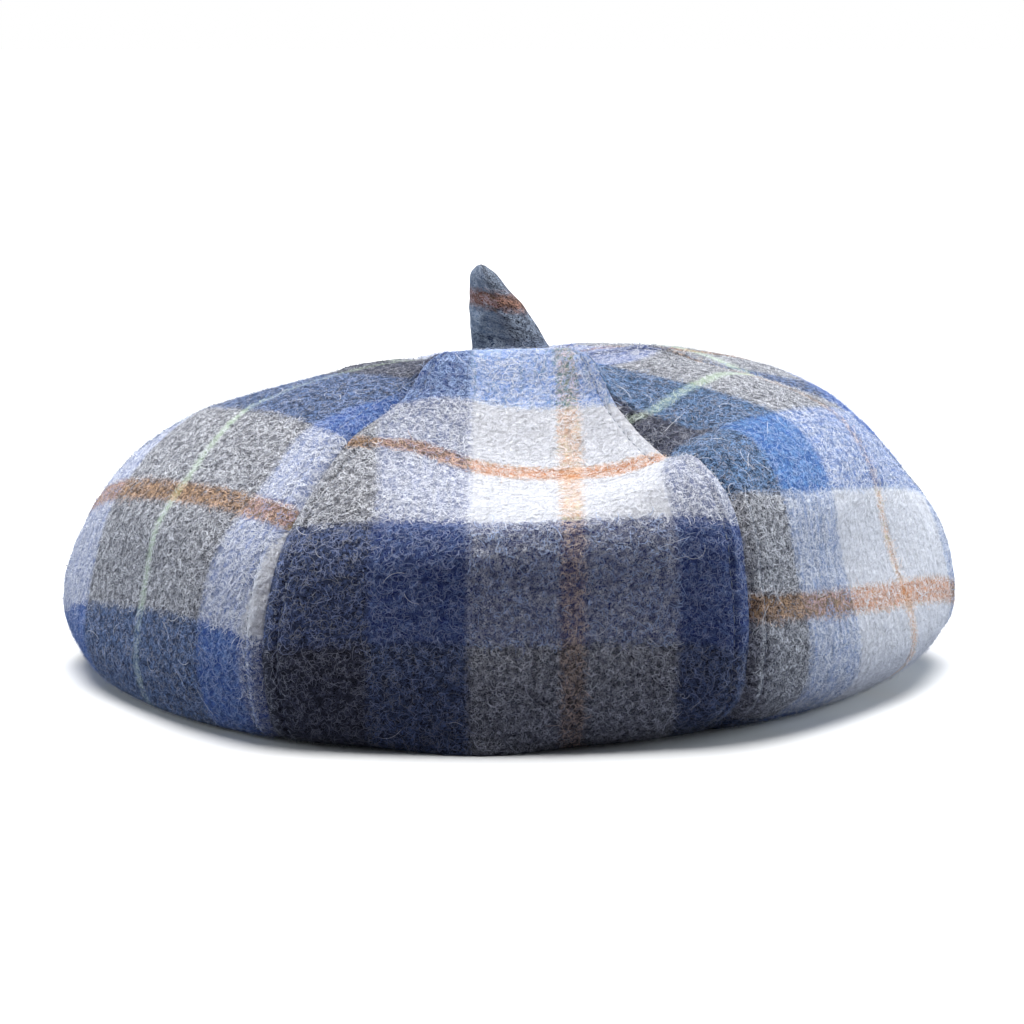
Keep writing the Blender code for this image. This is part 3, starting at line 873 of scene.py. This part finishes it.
def thread_material():
    """Twisted sewing thread: two plies that show as slanted light and dark."""
    colour = stitching().colour
    material = plain_material("sewing_thread", colour, roughness=0.6, sheen=0.1)
    t = Tree(material.node_tree)
    x, y = t.lie("thread lie")
    along, around = THREAD_TURNS
    twist = t.math("SINE", t.math("MULTIPLY_ADD", x, along, t.math("MULTIPLY", y, around)))
    dark = rgba(THREAD_SHADE * value for value in colour)
    t.fill(t.shader, Base_Color=t.mix(t.smooth_step(twist, *PLY_EDGES), dark, rgba(colour)))
    return material


class HAT_OT_gores(bpy.types.Operator):
    """Builds the wool gores with their seams, hem and plaid"""

    bl_idname = "hat.gores"
    bl_label = "Build the gores"

    def execute(self, context):
        for index, (name, *_, warp, weft) in enumerate(GORES):
            made = gore_grids(index)
            outer, inner = made["outer"], made["inner"]
            layer = outer[..., 0].size
            numbers = np.arange(layer).reshape(outer.shape[:2])
            edges = (numbers[:, 0], numbers[::-1, -1], numbers[0, ::-1], numbers[-1])
            faces = [grid_faces(numbers), grid_faces(numbers + layer)[:, ::-1]]
            faces += [edge_faces(edge, edge + layer) for edge in edges]
            uv = np.stack([made["u"], made["v"]], axis=-1).reshape(-1, 2)
            piece = mesh_piece(
                f"{name}_wool", np.concatenate([outer, inner]).reshape(-1, 3), np.concatenate(faces),
                [plaid_material(f"{name}_plaid", warp, weft)], uvs=np.concatenate([uv, uv]),
            )
            settle(piece, name)
        return {"FINISHED"}


def stem_profile(heights):
    """The stem's lean, half width and half depth at each height, rounded off between its sections."""
    table = np.array(STEM_SECTIONS)
    blur = np.array(STEM_BLUR) / sum(STEM_BLUR)
    made = []
    for column in (1, 2, 3):
        values = np.pad(np.interp(heights, table[:, 0], table[:, column]), len(blur) // 2, mode="edge")
        made.append(np.convolve(values, blur, mode="valid"))
    return made


class HAT_OT_stem(bpy.types.Operator):
    """Builds the leaning cloth stem in the middle of the crown"""

    bl_idname = "hat.stem"
    bl_label = "Build the stem"

    def execute(self, context):
        s = sizes()
        tall = s.stem_height + s.cloth_thickness
        heights = np.linspace(0, 1, STEM_ROWS)[:, None]
        lean, wide, deep = stem_profile(heights[:, 0])
        wide[0], deep[0] = STEM_SECTIONS[0][2:]
        turns = np.linspace(0, 2 * np.pi, STEM_SIDES, endpoint=False)
        middle_x = lean[:, None] * s.stem_radius
        x = middle_x + wide[:, None] * np.cos(turns) * s.stem_radius
        y = deep[:, None] * np.sin(turns) * s.stem_radius
        z = SEAT_HEIGHT * s.crown_height - s.cloth_thickness + heights * tall
        points = np.stack(np.broadcast_arrays(x, y, z), axis=-1)
        outward = unit_vectors(np.stack([x - middle_x, y, np.zeros_like(x)], axis=-1))
        low, high = STEM_CALM
        clear = np.clip((heights - low) / (high - low), 0, 1)
        points = points + outward * (waves(points, STEM_WAVES) * clear)[..., None] + hat_shift()
        tip = points[-1].mean(axis=0) + (0, 0, TIP_ROUNDING)
        vertices = np.concatenate([points.reshape(-1, 3), [tip, points[0].mean(axis=0)]])
        top, bottom = len(vertices) - 2, len(vertices) - 1
        foot = np.arange(STEM_SIDES)
        last = foot + top - STEM_SIDES
        cap = np.stack([last, np.roll(last, -1), np.full(STEM_SIDES, top)], axis=-1)
        under = np.stack([np.roll(foot, -1), foot, np.full(STEM_SIDES, bottom)], axis=-1)
        faces = np.concatenate([tube_triangles(STEM_ROWS, STEM_SIDES), cap, under])
        around = np.where(turns > np.pi, turns - 2 * np.pi, turns)
        uvs = np.broadcast_arrays(around * STEM_WRAP, heights * tall + BAND_SLANT * (x - middle_x))
        uvs = np.concatenate([np.stack(uvs, axis=-1).reshape(-1, 2), [[0, tall], [0, 0]]])
        material = plaid_material("stem_plaid", *STEM_SETTS, warp_share=STEM_WARP_SHARE)
        settle(mesh_piece("stem_wool", vertices, faces, [material], uvs=uvs), "stem")
        return {"FINISHED"}


def stitch_tubes(centres, directions, normals, length, radius):
    """Closed little tubes that dip into the cloth at both ends. Returns points, triangles and UVs."""
    count, rings = len(centres), len(STITCH_SHAPE)
    side = np.cross(directions, normals)
    points, uvs = [], []
    for along, thick, lift in STITCH_SHAPE:
        middle = centres + directions * (along * length) + normals * (lift * radius)
        for turn in np.linspace(0, 2 * np.pi, STITCH_SIDES, endpoint=False):
            points.append(middle + (side * np.cos(turn) + normals * np.sin(turn)) * (thick * radius))
            uvs.append(np.tile([along * length, turn / (2 * np.pi)], (count, 1)))
    last = (rings - 1) * STITCH_SIDES
    caps = [(0, k, k + 1) for k in range(1, STITCH_SIDES - 1)]
    caps += [(last, last + k + 1, last + k) for k in range(1, STITCH_SIDES - 1)]
    triangles = np.concatenate([tube_triangles(rings, STITCH_SIDES)[:, ::-1], caps])
    offsets = (np.arange(count) * rings * STITCH_SIDES)[:, None, None]
    return (
        np.stack(points, axis=1).reshape(-1, 3), (triangles + offsets).reshape(-1, 3),
        np.stack(uvs, axis=1).reshape(-1, 2),
    )


def read_along(at, run, values):
    """Rows of a table of points or vectors, read at distances between those in run."""
    return np.stack([np.interp(at, run, values[:, k]) for k in range(3)], axis=-1)


def line_on_grid(grid, columns):
    """Points of a grid at a fractional column in each row."""
    low = np.clip(np.floor(columns).astype(int), 0, grid.shape[1] - 2)
    part = (columns - low)[:, None]
    rows = np.arange(len(grid))
    return grid[rows, low] * (1 - part) + grid[rows, low + 1] * part


class HAT_OT_topstitching(bpy.types.Operator):
    """Sews a row of topstitching down both sides of every seam, and the hem's row under the brim"""

    bl_idname = "hat.topstitching"
    bl_label = "Sew the topstitching"

    def execute(self, context):
        st = stitching()
        thread = thread_material()
        for index, (name, *_) in enumerate(GORES):
            made = gore_grids(index)
            outer, normals = made["outer"], made["normals"]
            columns = outer.shape[1]
            half = columns // 2
            lines = []
            for mirrored in (False, True):
                seam = made["seam_distance"][:, ::-1] if mirrored else made["seam_distance"]
                places = np.array([
                    np.interp(st.row_distance * fit, row[:half], np.arange(half))
                    for fit, row in zip(made["fit"], seam)
                ])
                places = columns - 1 - places if mirrored else places
                lines.append((
                    line_on_grid(outer, places)[FIRST_STITCHED_ROW:],
                    line_on_grid(normals, places)[FIRST_STITCHED_ROW:],
                ))
            hem = np.array([
                np.interp(-HEM_ROW * MM, -to_edge, np.arange(len(outer))) for to_edge in made["to_edge"].T
            ])
            lines.append(tuple(line_on_grid(grid.transpose(1, 0, 2), hem) for grid in (outer, normals)))
            points, faces, uvs, total = [], [], [], 0
            for path, facing in lines:
                run = np.concatenate([[0], np.cumsum(np.linalg.norm(np.diff(path, axis=0), axis=1))])
                at = np.arange(st.pitch, run[-1] - st.pitch, st.pitch)
                centres = read_along(at, run, path)
                facings = unit_vectors(read_along(at, run, facing))
                directions = unit_vectors(read_along(at + MM, run, path) - centres)
                centres = centres - facings * STITCH_DEPTH * MM
                centres[:, 2] = np.maximum(centres[:, 2], st.thread / 2)
                p, f, uv = stitch_tubes(centres, directions, facings, st.length, st.thread / 2)
                points.append(p)
                faces.append(f + total)
                uvs.append(uv)
                total += len(p)
            points, faces, uvs = (np.concatenate(parts) for parts in (points, faces, uvs))
            settle(mesh_piece(f"{name}_stitches", points, faces, [thread], uvs=uvs))
        return {"FINISHED"}


def sett_yarns(place, words):
    """Name of the sett's yarn that lies at each place."""
    names, changes = sett_changes(words)
    return np.array(names)[np.searchsorted(changes, place / MM)]


def nap_materials():
    """One plain colour for each yarn's raised fibres, paler than the yarn."""
    made = []
    for yarn in YARNS:
        colour = np.array(getattr(cloth(), yarn))
        colour += (np.array(NAP_LIGHT) - colour) * NAP_LIGHT_SHARE
        made.append(plain_material(f"nap_{yarn}", colour, roughness=0.85, sheen=0.3))
    return made


def lying_directions(made, i, j, rng):
    """The cloth's normals at grid cells, and a random direction along the cloth at each."""
    outer, normals = made["outer"], made["normals"][i, j]
    along_cloth = unit_vectors(outer[i + 1, j] - outer[i, j])
    round_cloth = np.cross(normals, along_cloth)
    heading = rng.uniform(0, 2 * np.pi, len(i))[:, None]
    return normals, along_cloth * np.cos(heading) + round_cloth * np.sin(heading)


def curly_ribbons(roots, normals, tangents, rng, lengths, width, points=5, curl=1.0):
    """Flat curled fibres that lie over the cloth. Returns points and quads."""
    count = len(roots)
    sideways = np.cross(normals, tangents)
    way = np.linspace(0, 1, points)
    turn = rng.uniform(-1.0, 1.0, (count, 1)) * FIBRE_TURN * curl
    bend = rng.uniform(-1.0, 1.0, (count, 1)) * FIBRE_BEND * curl
    lift = rng.uniform(*FIBRE_LIFT, (count, 1)) * MM
    tip_lift = rng.uniform(0.0, TIP_LIFT, (count, 1)) * MM
    angle = turn * way + bend * way**2
    step = lengths[:, None] / (points - 1)
    dx, dy = (
        np.cumsum(share * step, axis=1) - share[:, :1] * step for share in (np.cos(angle), np.sin(angle))
    )
    height = lift * np.sin(np.pi * way) ** 0.8 + tip_lift * way**2 + FIBRE_CLEARANCE * MM
    spine = (
        roots[:, None] + tangents[:, None] * dx[..., None] + sideways[:, None] * dy[..., None]
        + normals[:, None] * height[..., None]
    )
    across = unit_vectors(np.cross(unit_vectors(np.gradient(spine, axis=1)), normals[:, None]))
    half = across * np.interp(way, *FIBRE_TAPER)[:, None] * width / 2
    both = np.stack([spine - half, spine + half], axis=2)
    k = np.arange(points - 1) * 2 + (np.arange(count) * points * 2)[:, None]
    quads = np.stack([k, k + 1, k + 3, k + 2], axis=-1).reshape(-1, 4)
    return both.reshape(-1, 3), quads


class HAT_OT_nap(bpy.types.Operator):
    """Raises the brushed nap: curly fibres in the colours of the yarns that they come from, with painted
    shade on white fibres over the front wall
    """

    bl_idname = "hat.nap"
    bl_label = "Raise the nap"

    def execute(self, context):
        c = cloth()
        materials = nap_materials()
        for index, (name, *_, warp, weft) in enumerate(GORES):
            rng = np.random.default_rng(4100 + index)
            made = gore_grids(index)
            outer = made["outer"]
            corners = [outer[:-1, :-1], outer[1:, :-1], outer[1:, 1:], outer[:-1, 1:]]
            area = np.linalg.norm(np.cross(corners[2] - corners[0], corners[3] - corners[1]), axis=2) / 2
            area = np.where(made["lying"][:-1, :-1], area * NAP_UNDERNEATH, area)
            cells = rng.choice(area.size, c.nap_per_gore, p=(area / area.sum()).ravel())
            i, j = np.unravel_index(cells, area.shape)
            a, b = rng.random((2, len(i), 1))
            roots = (
                outer[i, j] * (1 - a) * (1 - b) + outer[i + 1, j] * a * (1 - b)
                + outer[i + 1, j + 1] * a * b + outer[i, j + 1] * (1 - a) * b
            )
            normals, tangents = lying_directions(made, i, j, rng)
            lengths = (rng.gamma(NAP_SHAPE, NAP_SCALE, len(i)) + NAP_SHORTEST) * MM
            points, quads = curly_ribbons(roots, normals, tangents, rng, lengths, c.nap_width)
            points[:, 2] = np.maximum(points[:, 2], FLOOR_CLEARANCE * MM)
            from_warp = rng.random(len(i)) < c.warp_share
            warp_yarn, weft_yarn = sett_yarns(made["u"][i, j], warp), sett_yarns(made["v"][i, j], weft)
            hidden = np.isin(warp_yarn, BLUES) & (weft_yarn == "white")
            # painted shade: fibres of a white warp over the shaded wall band get a blue darker than white
            shaded_white_fibres = from_warp & (warp_yarn == "white") & (weft_yarn == "navy")
            yarn = np.where(shaded_white_fibres, "sky", np.where(from_warp & ~hidden, warp_yarn, weft_yarn))
            slots = np.repeat([YARNS.index(key) for key in yarn], len(quads) // len(i))
            settle(mesh_piece(f"{name}_nap", points, quads, materials, slots=slots))
        return {"FINISHED"}


class HAT_OT_loose_hairs(bpy.types.Operator):
    """Lays a few long loose hairs on the cloth"""

    bl_idname = "hat.loose_hairs"
    bl_label = "Lay the loose hairs"

    def execute(self, context):
        pale = plain_material("loose_hair", (0.80, 0.82, 0.88), roughness=0.7, sheen=0.1)
        for index, (name, *_) in enumerate(GORES):
            rng = np.random.default_rng(7300 + index)
            made = gore_grids(index)
            outer = made["outer"]
            rows, columns = outer.shape[:2]
            i = rng.integers(*(int(rows * share) for share in HAIR_ROWS), HAIRS_PER_GORE)
            j = rng.integers(columns // HAIRLESS_SIDE, columns - columns // HAIRLESS_SIDE, HAIRS_PER_GORE)
            normals, tangents = lying_directions(made, i, j, rng)
            points, quads = curly_ribbons(
                outer[i, j] + normals * HAIR_LIFT * MM, normals, tangents, rng,
                rng.uniform(*HAIR_LENGTHS, HAIRS_PER_GORE) * MM, HAIR_WIDTH * cloth().nap_width,
                points=HAIR_POINTS, curl=HAIR_CURL,
            )
            settle(mesh_piece(f"{name}_loose_hairs", points, quads, [pale]))
        return {"FINISHED"}


class HAT_OT_stage(bpy.types.Operator):
    """Sets the floor, the soft lights and the camera at the photograph's angle"""

    bl_idname = "hat.stage"
    bl_label = "Set the stage"

    def execute(self, context):
        g = context.scene.hat_stage
        corners = [(x * FLOOR_HALF, y * FLOOR_HALF, 0) for x, y in ((-1, -1), (1, -1), (1, 1), (-1, 1))]
        floor = mesh_piece("floor", corners, [(0, 1, 2, 3)], [floor_material(g.floor_colour)], smooth=False)
        floor.location.z = CAD_BOX[0][2] - FLOOR_DROP
        floor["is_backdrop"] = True
        camera = put_in_scene("photo_camera", bpy.data.cameras.new("photo_camera"))
        camera.data.lens = g.lens
        camera.data.clip_end = CAMERA_REACH
        camera.data.shift_x = CAMERA_SHIFT / PHOTO_SIDE
        e = g.camera_elevation
        camera.location = Vector(hat_shift()) + g.camera_distance * Vector((0, -math.cos(e), math.sin(e)))
        camera.rotation_euler = (math.pi / 2 - g.camera_pitch, 0, 0)
        context.scene.camera = camera
        for name, strength, place in SOFTBOXES:
            lamp = put_in_scene(name, bpy.data.lights.new(name, "AREA"))
            lamp.data.shape = "DISK"
            lamp.data.size = SOFTBOX_SIZE
            lamp.data.energy = strength * g.side_power
            lamp.data.color = SOFTBOX_COLOUR
            lamp.location = place
            lamp.rotation_euler = (SOFTBOX_AIM - Vector(place)).to_track_quat("-Z", "Y").to_euler()
        overhead = put_in_scene("overhead_light", bpy.data.lights.new("overhead_light", "SUN"))
        overhead.data.energy = g.key_strength
        overhead.data.angle = g.key_spread
        overhead.rotation_euler = (math.radians(OVERHEAD_TILT), 0, 0)
        world = bpy.data.worlds.new("pale_room")
        world.use_nodes = True
        t = Tree(world.node_tree)
        nodes = world.node_tree.nodes
        lit = t.fill(nodes["Background"], Color=rgba(ROOM_COLOUR), Strength=g.world_strength)[0]
        white = t.fill(t.node("ShaderNodeBackground"), Color=(1.0, 1.0, 1.0, 1.0), Strength=1.0)[0]
        t.bright_to_camera(lit, white, nodes["World Output"].inputs[0])
        context.scene.world = world
        context.scene.view_settings.view_transform = "Standard"
        return {"FINISHED"}


class HAT_PT_panel(bpy.types.Panel):
    """Lists the hat's steps and sizes"""

    bl_idname = "HAT_PT_panel"
    bl_label = "Tam o shanter"
    bl_space_type = "VIEW_3D"
    bl_region_type = "UI"
    bl_category = "Hat"

    def draw(self, context):
        column = self.layout.column()
        for step in STEPS:
            column.operator(step)
        for name in GROUPS:
            group = getattr(context.scene, name)
            box = self.layout.box()
            for key in group.__annotations__:
                box.prop(group, key)


STEPS = ("hat.gores", "hat.stem", "hat.topstitching", "hat.nap", "hat.loose_hairs", "hat.stage")
GROUPS = {"hat_sizes": HatSizes, "hat_stitching": HatStitching, "hat_cloth": HatCloth, "hat_stage": HatStage}
CLASSES = (
    *GROUPS.values(), HAT_OT_gores, HAT_OT_stem, HAT_OT_topstitching, HAT_OT_nap, HAT_OT_loose_hairs,
    HAT_OT_stage, HAT_PT_panel,
)


def register():
    for item in CLASSES:
        bpy.utils.register_class(item)
    for key, group in GROUPS.items():
        setattr(bpy.types.Scene, key, PointerProperty(type=group))


def unregister():
    for key in GROUPS:
        delattr(bpy.types.Scene, key)
    for item in reversed(CLASSES):
        bpy.utils.unregister_class(item)


def main():
    register()
    bpy.ops.hat.gores()
    bpy.ops.hat.stem()
    bpy.ops.hat.topstitching()
    bpy.ops.hat.nap()
    bpy.ops.hat.loose_hairs()
    bpy.ops.hat.stage()
    boxes = {"cad": CAD_BOX, "visual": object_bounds()}
    boxes = {key: [list(map(float, corner)) for corner in box] for key, box in boxes.items()}


if __name__ == "__main__":
    main()
